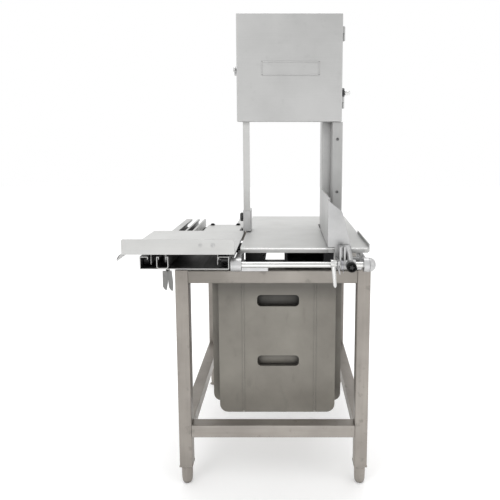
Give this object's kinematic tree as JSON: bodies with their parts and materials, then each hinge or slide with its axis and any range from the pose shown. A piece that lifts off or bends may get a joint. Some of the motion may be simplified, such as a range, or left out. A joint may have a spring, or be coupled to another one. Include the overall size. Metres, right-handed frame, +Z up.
{
  "type": "meat band saw",
  "caption": "Butcher's vertical band saw on an open square-tube stand, with a sliding carriage, gauge fence, blade guide and hinged head door.",
  "frame": {"origin": "bottom centre of the bounding box, on the floor", "axes": "+Z up, +X to the operator's right, +Y away from the operator"},
  "size_m": [0.852, 0.993, 1.766],
  "materials": {
    "stand_steel": "brushed",
    "satin_steel": "satin",
    "casting": "cast, buffed",
    "bright_steel": "polished",
    "case_paint": "semi-matt",
    "dark_paint": "semi-matt",
    "black_plastic": "matt",
    "wheel_iron": "machined",
    "red_plastic": "gloss",
    "green_plastic": "gloss",
    "spring_steel": "bright"
  },
  "bodies": {
    "stand": {"side_frame_left": "stand_steel", "side_frame_right": "stand_steel", "top_rail_front": "stand_steel", "top_rail_back": "stand_steel", "lower_rail_front": "stand_steel", "lower_rail_back": "stand_steel", "machine_base": "dark_paint", "lower_case": "case_paint", "gear_case": "casting", "gear_case_cover": "casting", "lower_bearing_front": "bright_steel", "lower_bearing_back": "bright_steel", "motor": "dark_paint", "wheel_scraper": "black_plastic", "blade": "bright_steel", "column": "satin_steel", "column_cover": "satin_steel", "head_case": "satin_steel", "hinge_pin_upper": "bright_steel", "hinge_pin_lower": "bright_steel", "switch_box": "casting", "main_table": "satin_steel", "table_wing": "satin_steel", "carriage_track": "satin_steel", "bar_bracket_left": "casting", "bar_bracket_right": "casting", "tension_spring": "spring_steel"},
    "head_door": {"head_door": "satin_steel"},
    "door_latch": {"door_latch": "casting"},
    "tension_slide": {"tension_slide": "casting", "upper_shaft": "bright_steel"},
    "upper_wheel": {"upper_wheel": "wheel_iron", "upper_bearing": "bright_steel"},
    "tension_knob": {"tension_knob": "black_plastic"},
    "guide": {"guide_post": "satin_steel", "guide_block": "casting"},
    "guide_knob": {"guide_knob": "black_plastic"},
    "lower_wheel": {"lower_wheel": "wheel_iron", "lower_shaft": "bright_steel", "drive_gear": "wheel_iron"},
    "motor_rotor": {"motor_shaft_pinion": "bright_steel"},
    "start_button": {"start_button": "green_plastic"},
    "stop_button": {"stop_button": "red_plastic"},
    "lower_door": {"lower_door": "case_paint"},
    "sawdust_pan": {"sawdust_pan": "satin_steel"},
    "carriage": {"carriage_tray": "satin_steel"},
    "track_latch": {"track_latch": "satin_steel"},
    "gauge_bar": {"gauge_bar": "bright_steel"},
    "gauge": {"gauge_plate": "satin_steel", "gauge_bracket": "casting"},
    "lock_lever": {"lock_lever": "bright_steel"},
    "gauge_knob": {"gauge_knob": "black_plastic"},
    "foot_front_left": {"foot_front_left": "stand_steel"},
    "roller_front_left": {"roller_front_left": "black_plastic"},
    "foot_front_right": {"foot_front_right": "stand_steel"},
    "roller_front_right": {"roller_front_right": "black_plastic"},
    "foot_back_left": {"foot_back_left": "stand_steel"},
    "roller_back_left": {"roller_back_left": "black_plastic"},
    "foot_back_right": {"foot_back_right": "stand_steel"},
    "roller_back_right": {"roller_back_right": "black_plastic"}
  },
  "joints": [
    {"name": "head_door_hinge", "type": "hinge", "parent": "stand", "child": "head_door", "pos_m": [0.3425, -0.089, 1.5645], "axis": [0, 0, 1], "range_deg": [0, 120]},
    {"name": "door_latch_turn", "type": "hinge", "parent": "stand", "child": "door_latch", "pos_m": [-0.08, -0.0655, 1.5605], "axis": [-1, 0, 0], "range_deg": [0, 100]},
    {"name": "tension_slide_lift", "type": "slide", "parent": "stand", "child": "tension_slide", "axis": [0, 0, 1], "range_m": [-0.012, 0], "deforming": ["tension_spring"]},
    {"name": "tension_knob_turn", "type": "hinge", "parent": "stand", "child": "tension_knob", "pos_m": [0.3425, 0.0417, 1.487], "axis": [1, 0, 0], "range_deg": [0, 61]},
    {"name": "upper_wheel_spin", "type": "hinge", "parent": "tension_slide", "child": "upper_wheel", "pos_m": [0.1385, -0.0555, 1.5645], "axis": [0, 1, 0], "continuous": true},
    {"name": "lower_wheel_spin", "type": "hinge", "parent": "stand", "child": "lower_wheel", "pos_m": [0.1385, -0.0555, 0.4975], "axis": [0, 1, 0], "continuous": true},
    {"name": "motor_spin", "type": "hinge", "parent": "stand", "child": "motor_rotor", "pos_m": [0.1385, 0.0595, 0.6175], "axis": [0, 1, 0], "continuous": true},
    {"name": "guide_lift", "type": "slide", "parent": "stand", "child": "guide", "axis": [0, 0, 1], "range_m": [0, 0.3]},
    {"name": "guide_knob_turn", "type": "hinge", "parent": "guide", "child": "guide_knob", "pos_m": [-0.055, -0.0835, 0.987], "axis": [1, 0, 0], "range_deg": [0, 360]},
    {"name": "start_button_press", "type": "slide", "parent": "stand", "child": "start_button", "axis": [0, -1, 0], "range_m": [0, 0.004], "stiffness_N_per_m": 300},
    {"name": "stop_button_press", "type": "slide", "parent": "stand", "child": "stop_button", "axis": [0, -1, 0], "range_m": [0, 0.004], "stiffness_N_per_m": 300},
    {"name": "lower_door_pull", "type": "slide", "parent": "stand", "child": "lower_door", "axis": [0, -1, 0], "range_m": [0, 0.085]},
    {"name": "sawdust_pan_slide", "type": "slide", "parent": "stand", "child": "sawdust_pan", "axis": [0, -1, 0], "range_m": [0, 0.07]},
    {"name": "carriage_slide", "type": "slide", "parent": "stand", "child": "carriage", "axis": [0, 1, 0], "range_m": [-0.03, 0.24]},
    {"name": "roller_front_left_spin", "type": "hinge", "parent": "carriage", "child": "roller_front_left", "pos_m": [-0.353, -0.4155, 0.894], "axis": [1, 0, 0], "range_deg": [-800, 110]},
    {"name": "roller_front_right_spin", "type": "hinge", "parent": "carriage", "child": "roller_front_right", "pos_m": [-0.094, -0.4155, 0.894], "axis": [1, 0, 0], "range_deg": [-800, 110]},
    {"name": "roller_back_left_spin", "type": "hinge", "parent": "carriage", "child": "roller_back_left", "pos_m": [-0.353, -0.1055, 0.894], "axis": [1, 0, 0], "range_deg": [-800, 110]},
    {"name": "roller_back_right_spin", "type": "hinge", "parent": "carriage", "child": "roller_back_right", "pos_m": [-0.094, -0.1055, 0.894], "axis": [1, 0, 0], "range_deg": [-800, 110]},
    {"name": "track_latch_swing", "type": "hinge", "parent": "stand", "child": "track_latch", "pos_m": [-0.2695, -0.4635, 0.862], "axis": [0, 1, 0], "range_deg": [-15, 15]},
    {"name": "gauge_bar_swing", "type": "hinge", "parent": "stand", "child": "gauge_bar", "pos_m": [0.0735, -0.4455, 0.883], "axis": [1, 0, 0], "range_deg": [0, 110]},
    {"name": "gauge_slide", "type": "slide", "parent": "gauge_bar", "child": "gauge", "axis": [-1, 0, 0], "range_m": [0, 0.26]},
    {"name": "lock_lever_turn", "type": "hinge", "parent": "gauge", "child": "lock_lever", "pos_m": [0.2735, -0.4735, 0.895], "axis": [-1, 0, 0], "range_deg": [0, 100]},
    {"name": "gauge_knob_turn", "type": "hinge", "parent": "gauge", "child": "gauge_knob", "pos_m": [0.3312, -0.4655, 0.885], "axis": [0, 1, 0], "range_deg": [0, 360]},
    {"name": "foot_front_left_turn", "type": "hinge", "parent": "stand", "child": "foot_front_left", "pos_m": [-0.254, -0.2915, 0.013], "axis": [0, 0, 1], "range_deg": [-360, 360]},
    {"name": "foot_front_right_turn", "type": "hinge", "parent": "stand", "child": "foot_front_right", "pos_m": [0.401, -0.2915, 0.013], "axis": [0, 0, 1], "range_deg": [-360, 360]},
    {"name": "foot_back_left_turn", "type": "hinge", "parent": "stand", "child": "foot_back_left", "pos_m": [-0.254, 0.4715, 0.013], "axis": [0, 0, 1], "range_deg": [-360, 360]},
    {"name": "foot_back_right_turn", "type": "hinge", "parent": "stand", "child": "foot_back_right", "pos_m": [0.401, 0.4715, 0.013], "axis": [0, 0, 1], "range_deg": [-360, 360]}
  ],
  "couplings": [
    {"joint": "upper_wheel_spin", "follows": "lower_wheel_spin", "ratio": 1},
    {"joint": "motor_spin", "follows": "lower_wheel_spin", "ratio": -2},
    {"joint": "tension_knob_turn", "follows": "tension_slide_lift", "rad_per_m": -87.7},
    {"joint": "roller_front_left_spin", "follows": "carriage_slide", "rad_per_m": -57.143},
    {"joint": "roller_front_right_spin", "follows": "carriage_slide", "rad_per_m": -57.143},
    {"joint": "roller_back_left_spin", "follows": "carriage_slide", "rad_per_m": -57.143},
    {"joint": "roller_back_right_spin", "follows": "carriage_slide", "rad_per_m": -57.143}
  ]
}
